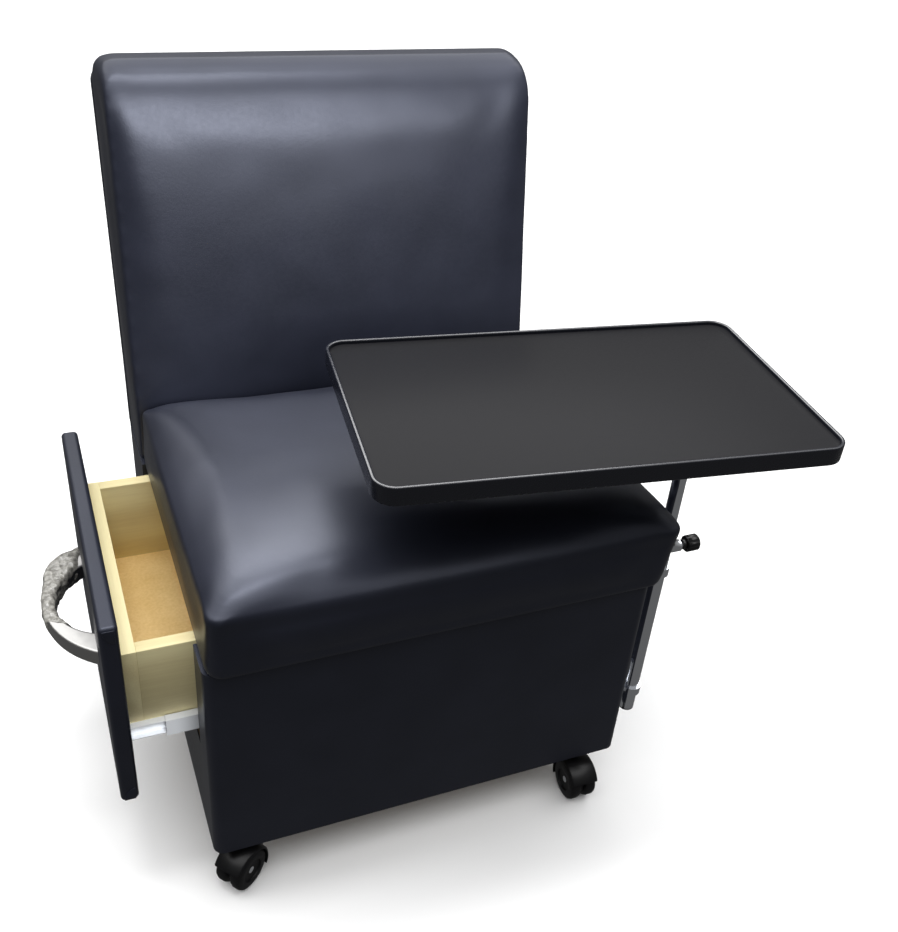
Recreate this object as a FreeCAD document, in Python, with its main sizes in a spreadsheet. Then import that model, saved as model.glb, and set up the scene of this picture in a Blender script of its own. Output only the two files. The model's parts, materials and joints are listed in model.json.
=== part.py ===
"""Manicure chair: padded seat and backrest on a covered box with casters, a side drawer on
telescopic slides, and a tray on a column that lifts and swings. Millimetres, +Z up, the
chair faces -Y. The origin lies on the floor under the middle of the whole chair."""
import FreeCAD, Part
import math
import os
import re
import Sketcher

# Driving dimensions: name, value, meaning. Depths named from the front count from the base's front face
SIZES = [
    ("base_left", -255, "x of the base's covered left face"),
    ("base_front", -215, "y of the base's covered front face"),
    ("base_width", 500, "covered width of the base"),
    ("base_depth", 490, "covered depth of the base"),
    ("base_lift", 68, "height of the base's underside, the height of a caster"),
    ("wall_height", 270, "height of the base's walls"),
    ("board", 15, "thickness of the base's boards"),
    ("cover", 1.2, "thickness of the vinyl"),
    ("base_corner", 12, "outer radius of the base's upright corners"),
    ("opening_sill", 195, "height of the drawer opening's lower edge"),
    ("clearance", 0.3, "air between soft or moving neighbours"),
    ("seat_board", 15, "thickness of the board under the seat"),
    ("seat_board_inset", 3, "from the base's front and right face to the seat board"),
    ("seat_board_left", 20, "from the base's left face to the seat board"),
    ("seat_board_rear", 371, "from the base's front to the seat board's rear edge"),
    ("seat_left_inset", 2, "how far the seat stays inside the base's left face"),
    ("seat_right_overhang", 23, "how far the seat stands over the base's right face"),
    ("seat_front_overhang", 14, "how far the seat stands over the base's front face"),
    ("seat_side", 84, "height of the seat's upright side"),
    ("seat_crown", 19, "rise of the seat's crown above its side"),
    ("seat_crown_run", 160, "level distance over which the seat's crown rises"),
    ("seat_draw", 8, "how far the seat's sides are drawn in at their upper edge"),
    ("seat_widest", 0.85, "share of the side's height at which the seat is widest"),
    ("seat_foot_left", 1, "how far the seat's left side is drawn in at its foot"),
    ("seat_foot_right", 15, "how far the seat's right side is drawn in at its foot"),
    ("seat_foot_front", 4, "how far the seat's front and rear are drawn in at their foot"),
    ("seat_corner", 18, "plan radius of the seat's front corners"),
    ("seat_rear_corner", 8, "plan radius of the seat's rear corners"),
    ("back_front", 384, "from the base's front to the backrest's face"),
    ("back_kink", 419, "height at which the backrest starts to lean"),
    ("back_top", 783, "height of the backrest's top"),
    ("back_face_rise", 0.157, "backward lean of the face for each unit of height"),
    ("back_rear_rise", 0.109, "backward lean of the rear for each unit of height"),
    ("back_crown", 9, "rise of the backrest's crown in its middle"),
    ("back_side_crown", 3, "rise of the backrest's crown at its sides"),
    ("back_overhang", 8, "how far the backrest's pad stands out past the base's right side"),
    ("back_round", 10, "radius of the backrest's side edges"),
    ("back_brow", 45, "radius of the backrest's top front edge"),
    ("back_corner", 20, "radius of the backrest's top corners"),
    ("stile", 18, "thickness of the backrest's stiles"),
    ("stile_depth", 34, "depth of a stile below the lean"),
    ("stile_tip", 24, "depth of a stile at its top"),
    ("stile_top", 769, "height of the stiles' tops"),
    ("stile_kink", 425, "height at which the stiles start to lean"),
    ("back_ply", 6, "thickness of the panel behind the backrest's foam"),
    ("back_rear", 15, "thickness of the backrest's rear panel"),
    ("back_panel_drop", 8, "from the backrest's top down to the rear panel's top"),
    ("rail", 18, "thickness of the backrest's cross rails"),
    ("top_rail_height", 60, "height of the upper cross rail"),
    ("lower_rail_height", 70, "height of the lower cross rail"),
    ("drawer_inset", 62, "from the base's front to the drawer's near side"),
    ("drawer_width", 303, "width of the drawer box"),
    ("drawer_depth", 400, "depth of the drawer box"),
    ("drawer_height", 116, "height of the drawer box"),
    ("drawer_bottom", 215, "height of the drawer walls' lower edge"),
    ("drawer_wall", 15, "thickness of the drawer's walls"),
    ("drawer_floor", 6, "thickness of the drawer's floor"),
    ("drawer_floor_lift", 2, "from the walls' lower edge to the floor's underside"),
    ("drawer_out", 68.5, "how far the drawer stands open at rest"),
    ("slide_gap", 12.5, "room for a slide beside the drawer"),
    ("slide_height", 24, "height of the outer slide rail"),
    ("slide_middle", 226, "height of the slides' middle"),
    ("slide_length", 400, "length of each slide rail"),
    ("slide_setback", 1.5, "from the base's left face to the outer rail's mouth"),
    ("sheet", 1.2, "thickness of the slide rails' steel"),
    ("outer_reach", 11, "from the base's runner board to the outer rail's lips"),
    ("middle_web", 2.6, "from the base's runner board to the middle rail's web"),
    ("middle_reach", 11.5, "from the base's runner board to the middle rail's lips"),
    ("inner_lips", 5, "from the base's runner board to the drawer rail's lips"),
    ("panel_inset", 36, "from the base's front to the drawer panel"),
    ("panel_width", 356, "width of the drawer panel"),
    ("panel_height", 243, "height of the drawer panel"),
    ("panel_bottom", 148, "height of the drawer panel's lower edge"),
    ("panel_thick", 18.5, "thickness of the covered drawer panel"),
    ("panel_edge", 5, "edge radius of the drawer panel"),
    ("handle_middle", 218, "from the base's front to the handle's middle"),
    ("handle_height", 270, "height of the handle's middle"),
    ("handle_span", 180, "length of the handle over its feet"),
    ("handle_reach", 48, "how far the handle's bow stands out"),
    ("handle_foot", 32, "length of a foot on the panel"),
    ("handle_waist", 12, "thickness of the bow at its middle"),
    ("handle_width", 20, "height of the handle's strap"),
    ("handle_edge", 3, "edge radius of the handle"),
    ("handle_screw_step", 144, "from screw to screw in the handle"),
    ("handle_screw_radius", 2, "radius of a handle screw"),
    ("handle_screw_head", 4, "radius of a handle screw's head"),
    ("handle_screw_head_height", 2.5, "height of a handle screw's head"),
    ("handle_screw_bite", 12, "depth of a handle screw in the handle"),
    ("column_offset", 38, "from the base's right face to the column's axis"),
    ("column_inset", 44, "from the base's front to the column's axis"),
    ("column_radius", 9.525, "outer radius of the column's tube"),
    ("column_bottom", 88, "height of the column tube's lower end"),
    ("column_length", 272, "length of the column's tube"),
    ("mast_radius", 7.95, "outer radius of the mast"),
    ("mast_fit", 0.07, "radial clearance of the mast in the column and the socket"),
    ("mast_wall", 1.5, "wall of the mast's tube"),
    ("mast_bottom", 165, "height of the mast's lower end at rest"),
    ("bracket_plate", 3, "thickness of a bracket's plate on the base"),
    ("bracket_height", 46, "height of a bracket's plate"),
    ("bracket_width", 30, "width of a bracket's plate"),
    ("bracket_plate_corner", 5, "corner radius of a bracket's plate"),
    ("bracket_web", 8, "thickness of a bracket's web"),
    ("bracket_ring", 12, "height of the ring round the tube"),
    ("bracket_ring_wall", 3, "wall of the ring round the tube"),
    ("bracket_upper", 314, "height of the upper bracket's middle"),
    ("bracket_lower", 120, "height of the lower bracket's middle"),
    ("bracket_screw_radius", 2, "radius of a bracket screw"),
    ("bracket_screw_head", 4, "radius of a bracket screw's head"),
    ("bracket_screw_head_height", 2.4, "height of a bracket screw's head"),
    ("bracket_screw_bite", 12, "depth of a bracket screw in the base's wall"),
    ("bracket_screw_step", 32, "from screw to screw on a bracket"),
    ("boss_radius", 7, "radius of the clamp's boss on the tube"),
    ("boss_length", 12, "how far the boss stands off the tube"),
    ("clamp_height", 343, "height of the clamp screw"),
    ("stud_radius", 3, "radius of the clamp screw"),
    ("stud_fit", 0.05, "radial clearance of the clamp screw"),
    ("knob_gap", 4, "from the boss to the knob"),
    ("knob_radius", 10, "radius of the knob"),
    ("knob_length", 20, "length of the knob"),
    ("knob_neck_radius", 6, "radius of the knob's neck"),
    ("knob_neck", 4, "length of the knob's neck"),
    ("knob_socket", 12, "depth of the clamp screw in the knob"),
    ("knob_flute", 3, "radius of the knob's flutes"),
    ("knob_flute_depth", 1, "depth of the knob's flutes"),
    ("knob_edge", 1.5, "bevel at the knob's edges"),
    ("plug_length", 5, "depth of the plug in the column's lower end"),
    ("plug_rim", 2, "height of the plug's rim below the tube"),
    ("tray_length", 470, "length of the tray over its rim"),
    ("tray_width", 276, "width of the tray over its rim"),
    ("tray_top", 563, "height of the tray's rim at rest"),
    ("tray_rim_height", 20, "height of the tray's rim"),
    ("tray_rim", 4, "thickness of the tray's rim"),
    ("tray_lip", 4, "how far the rim stands above the board"),
    ("tray_board", 15, "thickness of the tray's board"),
    ("tray_corner", 22, "outer radius of the tray's corners"),
    ("tray_rim_edge", 1.5, "edge radius of the rim's outer edges"),
    ("tray_turn", -6.87, "turn of the tray about the column at rest, in degrees"),
    ("tray_end", 94, "from the column's axis to the tray's right end"),
    ("flange_radius", 42, "radius of the flange under the tray"),
    ("flange", 4, "thickness of the flange under the tray"),
    ("socket_radius", 11, "outer radius of the tray's socket"),
    ("socket_length", 40, "length of the tray's socket below its flange"),
    ("tray_screw_circle", 31, "radius of the circle of the tray's screws"),
    ("tray_screw_radius", 2, "radius of a tray screw"),
    ("tray_screw_head", 4, "radius of a tray screw's head"),
    ("tray_screw_head_height", 2.4, "height of a tray screw's head"),
    ("tray_screw_bite", 11, "depth of a tray screw in the board"),
    ("caster_inset_x", 47, "from the base's side to a caster's swivel axis"),
    ("caster_inset_y", 26, "from the base's front or rear to a caster's swivel axis"),
    ("caster_trail", 22, "from the swivel axis to the wheels' axle"),
    ("turn_front_left", 217.6, "direction of the front left caster's trail, in degrees"),
    ("turn_front_right", 270, "direction of the front right caster's trail, in degrees"),
    ("turn_rear_left", 148, "direction of the rear left caster's trail, in degrees"),
    ("turn_rear_right", 24, "direction of the rear right caster's trail, in degrees"),
    ("wheel_radius", 25, "radius of a caster's wheels"),
    ("wheel_width", 14, "width of a wheel"),
    ("wheel_edge", 4, "width of the bevels at the tread's edges"),
    ("wheel_dish_radius", 14, "radius of the dish in a wheel's outer face"),
    ("wheel_dish", 2, "depth of the dish in a wheel's outer face"),
    ("web", 4.8, "thickness of the housing's web between the wheels"),
    ("web_radius", 19, "radius of the housing's web"),
    ("axle_radius", 4, "radius of the axle"),
    ("axle_fit", 0.06, "radial clearance of a wheel on its axle"),
    ("wheel_gap", 0.6, "side clearance of a wheel"),
    ("hood_air", 1.3, "clearance between the wheels and their hood"),
    ("hood_wall", 2.6, "wall of the hood over the wheels"),
    ("hood_edge", 2.2, "bevel at the hood's edges"),
    ("hood_tilt", 28, "tilt of the hood's open edge, in degrees"),
    ("neck_radius", 11, "radius of the housing's neck"),
    ("kingpin_radius", 5, "radius of the swivel pin"),
    ("kingpin_fit", 0.06, "radial clearance of the swivel pin"),
    ("kingpin_length", 6, "length of the swivel pin above the neck"),
    ("plate", 2.5, "thickness of a caster's plate"),
    ("plate_side", 40, "side of a caster's plate"),
    ("plate_corner", 6, "corner radius of a caster's plate"),
    ("dome", 4, "depth of the pressed dome under a caster's plate"),
    ("dome_radius", 14, "radius of the pressed dome"),
    ("plate_screw_step", 29, "from screw to screw on a caster's plate"),
    ("plate_screw_radius", 1.75, "radius of a caster screw"),
    ("plate_screw_head", 3.5, "radius of a caster screw's head"),
    ("plate_screw_head_height", 2, "height of a caster screw's head"),
]

doc = FreeCAD.newDocument("manicure_chair")
dims = doc.addObject("Spreadsheet::Sheet", "dims")
for row, (alias, size, meaning) in enumerate(SIZES, start=1):
    dims.set(f"A{row}", meaning)
    dims.set(f"B{row}", str(size))
    dims.setAlias(f"B{row}", alias)
doc.recompute()

SIZE = {alias: float(size) for alias, size, meaning in SIZES}
NODES = []

# Places that several pieces share
BASE_RIGHT = "(base_left + base_width)"
BASE_REAR = "(base_front + base_depth)"
WALL_TOP = "(base_lift + wall_height)"
WALL_X = "(base_left + cover)"
WALL_Y = "(base_front + cover)"
WALL_WIDTH = "(base_width - 2 * cover)"
WALL_DEPTH = "(base_depth - 2 * cover)"
INSIDE_X = f"({WALL_X} + board)"
INSIDE_Y = f"({WALL_Y} + board)"
INSIDE_WIDTH = f"({WALL_WIDTH} - 2 * board)"
INSIDE_DEPTH = f"({WALL_DEPTH} - 2 * board)"
DRAWER_X = "(base_left - drawer_out)"
DRAWER_NEAR = "(base_front + drawer_inset)"
DRAWER_FAR = f"({DRAWER_NEAR} + drawer_width)"
OPENING_NEAR = f"({DRAWER_NEAR} - slide_gap)"
OPENING_FAR = f"({DRAWER_FAR} + slide_gap)"
PANEL_X = f"({DRAWER_X} - panel_thick)"
COLUMN_X = f"({BASE_RIGHT} + column_offset)"
COLUMN_Y = "(base_front + column_inset)"
COLUMN_BORE = "(mast_radius + mast_fit)"
BOARD_BOTTOM = "(tray_top - tray_lip - tray_board)"
FLANGE_BOTTOM = f"({BOARD_BOTTOM} - flange)"


def formula(text):
    """The text with each dimension's name written as a cell of the sheet."""
    return re.sub(r"[A-Za-z_]+", lambda word: f"dims.{word[0]}" if word[0] in SIZE else word[0], str(text))


def number(text):
    """What a formula comes to now, in millimetres or degrees."""
    found = dims.evalExpression(str(text))
    return float(getattr(found, "Value", found))


def bind(thing, **formulas):
    """Ties properties of a document object to the sheet."""
    for name, text in formulas.items():
        thing.setExpression(name, formula(text))


def place(thing, x=0, y=0, z=0):
    """Ties an object's position to the sheet."""
    for axis, text in zip("xyz", (x, y, z)):
        thing.setExpression(f"Placement.Base.{axis}", formula(text))
    return thing


def turn(thing, axis, angle):
    """Turns an object about an axis by a formula in degrees."""
    thing.Placement.Rotation = FreeCAD.Rotation(FreeCAD.Vector(*axis), number(angle))
    return thing


def node(label, thing):
    """Names a finished sub-part."""
    thing.Label = label
    NODES.append(thing)
    return thing


def box(size, corner=(0, 0, 0)):
    """A block from its three sizes and its low corner."""
    block = doc.addObject("Part::Box", "block")
    bind(block, Length=size[0], Width=size[1], Height=size[2])
    return place(block, *corner)


def rod(radius, length, start, along="z"):
    """A round bar from the centre of its start face, along +x, +y or +z."""
    bar = doc.addObject("Part::Cylinder", "bar")
    bind(bar, Radius=radius, Height=length)
    if along == "x":
        turn(bar, (0, 1, 0), 90)
    if along == "y":
        turn(bar, (1, 0, 0), -90)
    return place(bar, *start)


def cut(stock, *tools):
    """The stock less each tool in turn."""
    for tool in tools:
        step = doc.addObject("Part::Cut", "cut")
        step.Base = stock
        step.Tool = tool
        stock = step
    return stock


def fuse(*things):
    """Several overlapping solids made one."""
    whole = doc.addObject("Part::MultiFuse", "fusion")
    whole.Shapes = list(things)
    return whole


def group(*things):
    """Separate solids that share one node."""
    several = doc.addObject("Part::Compound", "group")
    several.Links = list(things)
    return several


def fillet(stock, radius, wanted=lambda edge: True, kind="Part::Fillet"):
    """Rounds, or bevels by Part::Chamfer, the edges of the stock that are wanted."""
    doc.recompute()
    rounded = doc.addObject(kind, "rounded")
    rounded.Base = stock
    edges = enumerate(stock.Shape.Edges, start=1)
    rounded.Edges = [(index, number(radius), number(radius)) for index, edge in edges if wanted(edge)]
    return rounded


def runs_along(axis):
    """A test for straight edges along one axis."""
    direction = FreeCAD.Vector(*axis)
    return lambda edge: abs(edge.tangentAt(edge.FirstParameter).dot(direction)) > 0.99


upright = runs_along((0, 0, 1))


def round_edge(edge):
    """Whether an edge lies on a circle."""
    return isinstance(edge.Curve, Part.Circle)


def slab(size, corner, radius):
    """A block with its four upright edges rounded."""
    return fillet(box(size, corner), radius, upright)


def new_body(name):
    """An empty PartDesign body."""
    return doc.addObject("PartDesign::Body", name)


def new_sketch(body, role):
    """An empty sketch on one of a body's own origin planes."""
    sketch = body.newObject("Sketcher::SketchObject", "outline")
    plane = next(item for item in body.Origin.OriginFeatures if item.Role == role)
    sketch.AttachmentSupport = (plane, [""])
    sketch.MapMode = "FlatFace"
    return sketch


def outline(body, role, points):
    """A closed sketch of straight lines, each corner tied to two formulas from the origin."""
    sketch = new_sketch(body, role)
    spots = [FreeCAD.Vector(number(x), number(y), 0) for x, y in points]
    for start, end in zip(spots, spots[1:] + spots[:1]):
        sketch.addGeometry(Part.LineSegment(start, end))
    count = len(points)
    for line in range(count):
        sketch.addConstraint(Sketcher.Constraint("Coincident", line, 2, (line + 1) % count, 1))
    for line, (x, y) in enumerate(points):
        for kind, text in (("DistanceX", x), ("DistanceY", y)):
            at = sketch.addConstraint(Sketcher.Constraint(kind, -1, 1, line, 1, number(text)))
            sketch.setExpression(f"Constraints[{at}]", formula(text))
    return sketch


def pad(body, sketch, length):
    """A sketch raised by a formula."""
    raised = body.newObject("PartDesign::Pad", "raised")
    raised.Profile = sketch
    bind(raised, Length=length)
    return body


def revolve(body, sketch):
    """A sketch turned about its own upright axis."""
    turned = body.newObject("PartDesign::Revolution", "turned")
    turned.Profile = sketch
    turned.ReferenceAxis = (sketch, ["V_Axis"])
    turned.Angle = 360
    return body


def round_off(body, radius, wanted):
    """Rounds the wanted edges of a body."""
    doc.recompute()
    stock = body.Tip
    names = [f"Edge{index}" for index, edge in enumerate(stock.Shape.Edges, start=1) if wanted(edge)]
    rounding = body.newObject("PartDesign::Fillet", "rounding")
    rounding.Base = (stock, names)
    bind(rounding, Radius=radius)
    body.Tip = rounding
    return body


def side_profile(name, points, thickness, x):
    """A board cut to a side profile of depths and heights, its thickness along +X."""
    body = new_body(name)
    pad(body, outline(body, "YZ_Plane", points), thickness)
    return place(body, x, "base_front", 0)


def screw(radius, length, head_radius, head_height, seat):
    """An upright screw: the shank rises from its seat, the head hangs below."""
    x, y, z = seat
    return fuse(rod(radius, length, seat), rod(head_radius, head_height, (x, y, f"{z} - {head_height}")))


def solid_feature(name, shape):
    """A document object that holds a shape made by Part's own functions."""
    feature = doc.addObject("Part::Feature", name)
    feature.Shape = shape
    return feature


# Base: boards inside a vinyl skin, open on the left for the drawer
def full_wall(label, y, outer_y):
    """A full-width wall whose outer upright edges are rounded to suit the skin."""
    block = box((WALL_WIDTH, "board", "wall_height"), (WALL_X, y, "base_lift"))
    node(label, fillet(block, "base_corner - cover",
                       lambda edge: upright(edge) and abs(edge.CenterOfMass.y - number(outer_y)) < 0.01))


full_wall("base_front_board", WALL_Y, WALL_Y)
full_wall("base_rear_board", f"{BASE_REAR} - cover - board", f"{BASE_REAR} - cover")
right_wall = box(("board", INSIDE_DEPTH, "wall_height"),
                 (f"{BASE_RIGHT} - cover - board", INSIDE_Y, "base_lift"))
left_walls = {
    "base_left_front_stile": (f"{OPENING_NEAR} - {INSIDE_Y}", "wall_height", INSIDE_Y),
    "base_left_rear_stile": (f"{BASE_REAR} - cover - board - {OPENING_FAR}", "wall_height", OPENING_FAR),
    "base_left_lower_rail": (f"{OPENING_FAR} - {OPENING_NEAR}", "opening_sill - base_lift", OPENING_NEAR),
}
for label, (width, height, y) in left_walls.items():
    node(label, box(("board", width, height), (WALL_X, y, "base_lift")))
node("base_bottom_board", box((INSIDE_WIDTH, INSIDE_DEPTH, "board"), (INSIDE_X, INSIDE_Y, "base_lift")))
for label, y in (("runner_board_front", f"{OPENING_NEAR} - board"), ("runner_board_rear", OPENING_FAR)):
    node(label, box((INSIDE_WIDTH, "board", "wall_height - board"), (INSIDE_X, y, "base_lift + board")))
skin_outside = slab(("base_width", "base_depth", "wall_height"), ("base_left", "base_front", "base_lift"),
                    "base_corner")
skin_inside = slab((WALL_WIDTH, WALL_DEPTH, "wall_height"), (WALL_X, WALL_Y, "base_lift"),
                   "base_corner - cover")
drawer_mouth = box(("board", f"{OPENING_FAR} - {OPENING_NEAR}", f"{WALL_TOP} - opening_sill"),
                   ("base_left - cover", OPENING_NEAR, "opening_sill"))
skin = cut(skin_outside, skin_inside, drawer_mouth)

# Seat: a board wrapped by one crowned pad
board_sides = ("base_width - seat_board_left - seat_board_inset", "seat_board_rear - seat_board_inset")
board_spot = ("base_left + seat_board_left", "base_front + seat_board_inset", WALL_TOP)
node("seat_board", slab((*board_sides, "seat_board"), board_spot, "base_corner"))


def rounded_ring(low, high, front_radius, rear_radius):
    """A closed level wire of four lines and four quarter arcs between two plan corners."""
    corners = [(low.x, low.y, 1, 1, front_radius), (high.x, low.y, -1, 1, front_radius),
               (high.x, high.y, -1, -1, rear_radius), (low.x, high.y, 1, -1, rear_radius)]
    bends = []
    for index, (x, y, inward_x, inward_y, radius) in enumerate(corners):
        sag = radius * (1 - math.sqrt(0.5))
        along_x = FreeCAD.Vector(x + inward_x * radius, y, low.z)
        along_y = FreeCAD.Vector(x, y + inward_y * radius, low.z)
        middle = FreeCAD.Vector(x + inward_x * sag, y + inward_y * sag, low.z)
        bends.append((along_y, middle, along_x) if index % 2 == 0 else (along_x, middle, along_y))
    edges = []
    for bend, following in zip(bends, bends[1:] + bends[:1]):
        edges.append(Part.Arc(*bend).toShape())
        edges.append(Part.LineSegment(bend[2], following[0]).toShape())
    return Part.Wire(edges)


def seat_pad():
    """The seat's foam: sides that lean out from their foot and draw in again under a crown."""
    low_x, high_x = number("base_left + seat_left_inset"), number(f"{BASE_RIGHT} + seat_right_overhang")
    low_y = number("base_front - seat_front_overhang")
    high_y = number("base_front + back_front - clearance")
    floor = number(f"{WALL_TOP} + clearance")
    draw, side, widest = SIZE["seat_draw"], SIZE["seat_side"], SIZE["seat_widest"]
    levels = []
    for share in (0, widest / 2, widest, (1 + widest) / 2, 1):
        drawn = max(0, share - widest) / (1 - widest)
        levels.append((side * share, draw * drawn * drawn, max(0, 1 - share / widest)))
    for angle in map(math.radians, (18, 36, 54, 78)):
        rise = side + SIZE["seat_crown"] * math.sin(angle)
        levels.append((rise, draw + SIZE["seat_crown_run"] * (1 - math.cos(angle)), 0))
    rings = []
    for height, inset, lean in levels:
        left, right = inset + lean * SIZE["seat_foot_left"], inset + lean * SIZE["seat_foot_right"]
        ends = inset + lean * SIZE["seat_foot_front"]
        low = FreeCAD.Vector(low_x + left, low_y + ends, floor + height)
        high = FreeCAD.Vector(high_x - right, high_y - ends, floor + height)
        rings.append(rounded_ring(low, high, SIZE["seat_corner"], SIZE["seat_rear_corner"]))
    return Part.makeLoft(rings, True, True)


pocket_size = [f"{size} + 2 * clearance" for size in board_sides]
pocket_spot = (f"{board_spot[0]} - clearance", f"{board_spot[1]} - clearance", WALL_TOP)
seat_pocket = slab((*pocket_size, "seat_board + clearance"), pocket_spot, "base_corner + clearance")
node("seat_cushion", cut(solid_feature("seat_foam", seat_pad()), seat_pocket))

# Backrest: two kinked stiles from the base's floor up, cross rails, a panel under the foam, a rear panel
rear_line = "(base_depth - cover - board)"
stile_rear_top = f"({rear_line} + back_rear_rise * (stile_top - stile_kink))"
stile_front = f"({rear_line} - stile_depth)"
stile_front_top = f"({stile_rear_top} - stile_tip)"
stile_points = [(stile_front, "base_lift + board"), (rear_line, "base_lift + board"),
                (rear_line, "stile_kink"), (stile_rear_top, "stile_top"),
                (stile_front_top, "stile_top"), (stile_front, "stile_kink")]
stile_right_x = f"({BASE_RIGHT} - cover - board - stile)"
node("back_stile_left", side_profile("stile_left", stile_points, "stile", INSIDE_X))
node("back_stile_right", side_profile("stile_right", stile_points, "stile", stile_right_x))
between_x = f"({INSIDE_X} + stile)"
between_width = f"({INSIDE_WIDTH} - 2 * stile)"
lower_rail_spot = (between_x, f"base_front + {rear_line} - rail", "stile_kink - lower_rail_height")
node("back_lower_rail", box((between_width, "rail", "lower_rail_height"), lower_rail_spot))
rail_foot = "(stile_top - top_rail_height)"
rail_foot_y = f"({rear_line} + back_rear_rise * ({rail_foot} - stile_kink))"
top_rail_points = [(f"{rail_foot_y} - rail", rail_foot), (rail_foot_y, rail_foot),
                   (stile_rear_top, "stile_top"), (f"{stile_rear_top} - rail", "stile_top")]
node("back_top_rail", side_profile("top_rail", top_rail_points, between_width, between_x))
ply_front = f"({stile_front} - back_ply)"
ply_front_top = f"({stile_front_top} - back_ply)"
ply_points = [(ply_front, WALL_TOP), (stile_front, WALL_TOP), (stile_front, "stile_kink"),
              (stile_front_top, "stile_top"), (ply_front_top, "stile_top"), (ply_front, "stile_kink")]
node("back_front_panel", side_profile("front_panel", ply_points, INSIDE_WIDTH, INSIDE_X))
panel_top = "(back_top - back_panel_drop)"
panel_front_top = f"({rear_line} + back_rear_rise * ({panel_top} - stile_kink))"
panel_rear = f"({rear_line} + back_rear)"
rear_points = [(rear_line, WALL_TOP), (panel_rear, WALL_TOP), (panel_rear, "stile_kink"),
               (f"{panel_front_top} + back_rear", panel_top), (panel_front_top, panel_top),
               (rear_line, "stile_kink")]
rear_panel = side_profile("rear_panel", rear_points, "base_width", "base_left")
upper_corner = lambda edge: runs_along((0, 1, 0))(edge) and edge.CenterOfMass.z > SIZE["stile_top"]
node("back_rear_panel", round_off(rear_panel, "back_corner", upper_corner))


back_width = number("base_width + back_overhang")


def rolled(side, radius):
    """How far in a round edge of that radius lies, at that distance from the side."""
    bare = max(0.0, 1 - side / radius)
    return radius * (1 - math.sqrt(1 - bare * bare))


def back_section(across):
    """The foam's side profile at one distance across: lower face, crowned face, top and rear.
    The brow goes on from the lean that the crowned face ends with, and turns it level."""
    side = min(across, back_width - across)
    swell = SIZE["back_crown"] - SIZE["back_side_crown"]
    crown = SIZE["back_side_crown"] + swell * math.sin(math.pi * across / back_width)
    front = SIZE["back_front"] + rolled(side, SIZE["back_round"])
    kink, brow = SIZE["back_kink"], SIZE["back_brow"]
    top = SIZE["back_top"] - rolled(side, SIZE["back_corner"])
    tilt = math.atan(SIZE["back_face_rise"])
    chord = (top - brow - kink) / math.cos(tilt)
    lean = tilt + 2 * math.atan(2 * crown * math.cos(tilt) / chord)
    halfway = (lean + math.pi / 2) / 2
    face_top = top - brow * (1 - math.sin(lean))
    face_y = front + SIZE["back_face_rise"] * (face_top - kink)
    bend_y = face_y + brow * (math.cos(lean) - math.cos(halfway))
    bend_z = face_top + brow * (math.sin(halfway) - math.sin(lean))
    floor, rear = number(WALL_TOP), number(f"{rear_line} - clearance")
    rear_y = rear + SIZE["back_rear_rise"] * (top - SIZE["stile_kink"])
    spots = {"foot": (front, floor), "kink": (front, kink),
             "crown": ((front + face_y) / 2 - crown, (kink + face_top) / 2),
             "face_top": (face_y, face_top), "bend": (bend_y, bend_z),
             "top": (face_y + brow * math.cos(lean), top), "rear_top": (rear_y, top),
             "rear_kink": (rear, SIZE["stile_kink"]), "rear_foot": (rear, floor)}
    x, start_y = SIZE["base_left"] + across, SIZE["base_front"]
    points = {name: FreeCAD.Vector(x, start_y + y, z) for name, (y, z) in spots.items()}
    edges = [Part.LineSegment(points["foot"], points["kink"]),
             Part.Arc(points["kink"], points["crown"], points["face_top"]),
             Part.Arc(points["face_top"], points["bend"], points["top"])]
    straight = ("top", "rear_top", "rear_kink", "rear_foot", "foot")
    edges += [Part.LineSegment(points[start], points[end]) for start, end in zip(straight, straight[1:])]
    return Part.Wire([edge.toShape() for edge in edges])


half_steps = (0, 3, 8, 20, 120)
far_steps = [back_width - step for step in reversed(half_steps)]
back_sections = [back_section(across) for across in (*half_steps, back_width / 2, *far_steps)]
back_foam = solid_feature("back_foam", Part.makeLoft(back_sections, True, True))
past_rear = "2 * base_depth"
pocket_points = [(ply_front, "base_lift"), (past_rear, "base_lift"), (past_rear, "stile_top"),
                 (ply_front_top, "stile_top"), (ply_front, "stile_kink")]
back_pocket = side_profile("back_pocket", pocket_points, INSIDE_WIDTH, INSIDE_X)
node("back_cushion", cut(back_foam, back_pocket))

# Drawer box, its covered panel and its bow handle
drawer_inner = "(drawer_width - 2 * drawer_wall)"
side_length = "(drawer_depth - 2 * drawer_wall)"
front_inside = f"({DRAWER_X} + drawer_wall)"
handle_y = "(base_front + handle_middle)"
handle_screw_ys = [f"{handle_y} {sign} handle_screw_step / 2" for sign in "-+"]


def handle_screw_holes(start, length):
    """The two holes that the handle's screws pass through."""
    return [rod("handle_screw_radius", length, (start, y, "handle_height"), "x") for y in handle_screw_ys]


cross_wall = ("drawer_wall", "drawer_width", "drawer_height")
front_wall = box(cross_wall, (DRAWER_X, DRAWER_NEAR, "drawer_bottom"))
node("drawer_front_wall", cut(front_wall, *handle_screw_holes(DRAWER_X, "drawer_wall")))
back_wall_x = f"{DRAWER_X} + drawer_depth - drawer_wall"
node("drawer_back_wall", box(cross_wall, (back_wall_x, DRAWER_NEAR, "drawer_bottom")))
for label, y in (("drawer_side_front", DRAWER_NEAR), ("drawer_side_rear", f"{DRAWER_FAR} - drawer_wall")):
    node(label, box((side_length, "drawer_wall", "drawer_height"), (front_inside, y, "drawer_bottom")))
floor_spot = (front_inside, f"{DRAWER_NEAR} + drawer_wall", "drawer_bottom + drawer_floor_lift")
node("drawer_bottom", box((side_length, drawer_inner, "drawer_floor"), floor_spot))
panel_block = fillet(box(("panel_thick", "panel_width", "panel_height"),
                         (PANEL_X, "base_front + panel_inset", "panel_bottom")), "panel_edge")
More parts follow.
